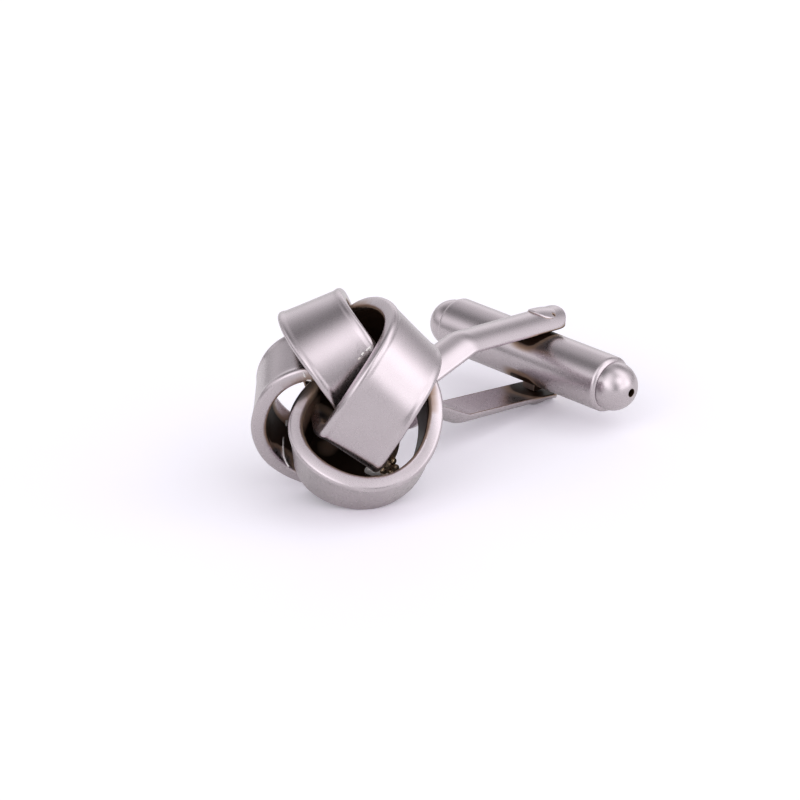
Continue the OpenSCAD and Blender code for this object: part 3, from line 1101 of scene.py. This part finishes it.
class CUFFLINK_OT_swivel_block(bpy.types.Operator):
    """The square swivel block that the rivet passes through"""

    bl_idname = "cufflink.swivel_block"
    bl_label = "Swivel block"

    def execute(self, context):
        sizes = context.scene.cufflink_back
        look = context.scene.cufflink_finish
        half = sizes.block_side / 2
        end_gap, bore_gap, edge = 0.08 * MM, 0.04 * MM, 0.07 * MM
        height = sizes.gap_at_rivet / 2 - end_gap
        block = rounded(box_mesh("block", (-half, -half, -height), (half, half, height)), edge)
        bore, past = sizes.pin_diameter / 2 + bore_gap, 2 * height
        cutter = lathe("bore", [(0, -past), (bore, -past), (bore, past), (0, past)], 48)
        mesh = combined(block, [cutter], "DIFFERENCE")
        # Painted shade: darker on the block's +X side, a little elsewhere
        on_side, elsewhere, skin = 0.9, 0.2, 0.03 * MM
        store(mesh, "painted_light", [
            on_side if vertex.co.x > half - skin else elsewhere for vertex in mesh.vertices])
        finish_piece(
            "SwivelBlock", mesh, satin_material("Block metal", look), "toggle", ["swivel_block"],
            drop=sizes.arms_drop)
        return {"FINISHED"}


# The studio

# Soft boxes of the light room: name, azimuth and elevation in degrees, sharpness and brightness
SOFT_BOXES = (
    ("front", 5, 30, 12, 1.9),
    ("over the front", 5, 68, 20, 1.0),
    ("front, low right", 30, 10, 20, 1.0),
    ("front, high right", 30, 50, 20, 0.5),
    ("right, low and near", 85, 5, 20, 1.8),
    ("right, low and far", 118, 12, 20, 1.9),
    ("right, high", 80, 40, 20, 1.9),
    ("back right, high", 130, 45, 12, 1.5),
    ("back right, over", 145, 70, 20, 1.0),
    ("back, low", 160, 15, 12, 0.6),
    ("back left, low", -157, 16, 20, 1.0),
    ("back left, high", -125, 60, 12, 0.5),
    ("left, far", -125, 20, 12, 1.0),
    ("left", -100, 12, 20, 0.3),
    ("left, near", -70, 20, 20, 0.8),
    ("front left", -40, 27, 20, 1.0),
)
CAMERA_AIM = (-6.053, 3.525, 1.17)


class CufflinkStage(bpy.types.PropertyGroup):
    """The camera's stand and the studio's light."""

    azimuth: angle("Azimuth", 46.152, "Side that the camera stands on, from the front to the right")
    elevation: angle("Elevation", 23.275, "Height of the camera above the table, as an angle")
    roll: angle("Roll", -3.376, "Tilt of the camera about its own view")
    distance: length("Distance", 250, "From the camera to the point that it aims at")
    lens: bpy.props.FloatProperty(
        name="Lens", description="Focal length for a 36 mm wide picture, in mm", default=152.863, min=1)
    sky: bpy.props.FloatProperty(
        name="Sky", description="Brightness of the light room", default=1.0, min=0)
    glow: bpy.props.FloatProperty(
        name="Glow", description="How much the table top shines through", default=0.14, min=0)
    table_side: length("Table side", 1200, "Side of the square table top")


def stage_camera(stage):
    """The camera, at the photograph's angle above the table."""
    sin_a, cos_a = math.sin(stage.azimuth), math.cos(stage.azimuth)
    sin_e, cos_e = math.sin(stage.elevation), math.cos(stage.elevation)
    back = Vector((sin_a * cos_e, -cos_a * cos_e, sin_e))
    right = Vector((0, 0, 1)).cross(back).normalized()
    up = back.cross(right)
    turn = Matrix((right, up, back)).transposed() @ Matrix.Rotation(stage.roll, 3, "Z")
    data = bpy.data.cameras.new("Camera")
    data.lens = stage.lens
    data.sensor_width = 36
    data.clip_start = 0.01
    camera = bpy.data.objects.new("Camera", data)
    place = Vector(CAMERA_AIM) * MM + back * stage.distance
    camera.matrix_world = Matrix.Translation(place) @ turn.to_4x4()
    bpy.context.scene.collection.objects.link(camera)
    bpy.context.scene.camera = camera


def stage_world(stage):
    """A pale light room: soft boxes of light all round, painted on the sky by their directions."""
    world = bpy.data.worlds.new("Light room")
    bpy.context.scene.world = world
    world.use_nodes = True
    tree = world.node_tree
    direction = tree.nodes.new("ShaderNodeTexCoord").outputs["Generated"]
    total = 0.0
    for label, azimuth, elevation, sharpness, brightness in SOFT_BOXES:
        a, e = math.radians(azimuth), math.radians(elevation)
        near = tree.nodes.new("ShaderNodeVectorMath")
        near.label = label
        near.operation = "DOT_PRODUCT"
        tree.links.new(direction, near.inputs[0])
        near.inputs[1].default_value = (
            math.sin(a) * math.cos(e), -math.cos(a) * math.cos(e), math.sin(e))
        fall = math_node(tree, "MULTIPLY_ADD", near.outputs["Value"], sharpness)
        fall.node.inputs[2].default_value = -sharpness
        glow = math_node(tree, "MULTIPLY", math_node(tree, "EXPONENT", fall), brightness)
        total = math_node(tree, "ADD", total, glow)
    background = tree.nodes["Background"]
    tree.links.new(total, background.inputs["Color"])
    background.inputs["Strength"].default_value = stage.sky


def table_material(floor, glow):
    """A plain matt table top: the camera sees it glow a little, and the metal mirrors it as grey."""
    material = bpy.data.materials.new("Table top")
    material.use_nodes = True
    tree = material.node_tree
    shader = tree.nodes["Principled BSDF"]
    seen = tree.nodes.new("ShaderNodeLightPath").outputs["Is Camera Ray"]
    mirrored = [0.9 * sum(floor) / 3] * 3
    tree.links.new(mix_colour(tree, seen, mirrored, floor), shader.inputs["Base Color"])
    shader.inputs["Roughness"].default_value = 0.8
    shader.inputs["Emission Color"].default_value = (*floor, 1)
    tree.links.new(math_node(tree, "MULTIPLY", seen, glow), shader.inputs["Emission Strength"])
    return material


class CUFFLINK_OT_stage(bpy.types.Operator):
    """The pale table, the light room and the camera"""

    bl_idname = "cufflink.stage"
    bl_label = "Stage"

    def execute(self, context):
        stage = context.scene.cufflink_stage
        look = context.scene.cufflink_finish
        stage_camera(stage)
        stage_world(stage)
        reach = stage.table_side / 2
        mesh = bpy.data.meshes.new("Table")
        corners = [(-reach, -reach, 0), (reach, -reach, 0), (reach, reach, 0), (-reach, reach, 0)]
        mesh.from_pydata(corners, [], [(0, 1, 2, 3)])
        mesh.materials.append(table_material(look.floor, stage.glow))
        table = bpy.data.objects.new("Table", mesh)
        context.scene.collection.objects.link(table)
        context.scene.view_settings.view_transform = "Standard"
        return {"FINISHED"}


# The add-on

PIECES = (
    CUFFLINK_OT_knot, CUFFLINK_OT_solder, CUFFLINK_OT_bracket, CUFFLINK_OT_rivet,
    CUFFLINK_OT_barrel, CUFFLINK_OT_caps, CUFFLINK_OT_swivel_block, CUFFLINK_OT_stage,
)


class CUFFLINK_PT_panel(bpy.types.Panel):
    """Lists the sizes, the colours and the pieces of the cufflink"""

    bl_idname = "CUFFLINK_PT_panel"
    bl_label = "Knot cufflink"
    bl_space_type = "VIEW_3D"
    bl_region_type = "UI"
    bl_category = "Cufflink"

    def draw(self, context):
        scene = context.scene
        for group_name in GROUPS:
            group = getattr(scene, group_name)
            box = self.layout.box()
            for name in group.__annotations__:
                box.prop(group, name)
        for piece in PIECES:
            self.layout.operator(piece.bl_idname)


GROUPS = {
    "cufflink_knot": CufflinkKnotSizes,
    "cufflink_back": CufflinkBackSizes,
    "cufflink_finish": CufflinkFinish,
    "cufflink_stage": CufflinkStage,
}


def register():
    """Adds the property groups, the operators and the panel."""
    for name, group in GROUPS.items():
        bpy.utils.register_class(group)
        setattr(bpy.types.Scene, name, bpy.props.PointerProperty(type=group))
    for piece in PIECES + (CUFFLINK_PT_panel,):
        bpy.utils.register_class(piece)


def unregister():
    """Takes them out again."""
    for piece in reversed(PIECES + (CUFFLINK_PT_panel,)):
        bpy.utils.unregister_class(piece)
    for name, group in reversed(GROUPS.items()):
        delattr(bpy.types.Scene, name)
        bpy.utils.unregister_class(group)


def main():
    """Builds the whole scene."""
    register()
    for piece in PIECES:
        area, call = piece.bl_idname.split(".")
        getattr(getattr(bpy.ops, area), call)()
    bpy.context.view_layer.update()


if __name__ == "__main__":
    main()
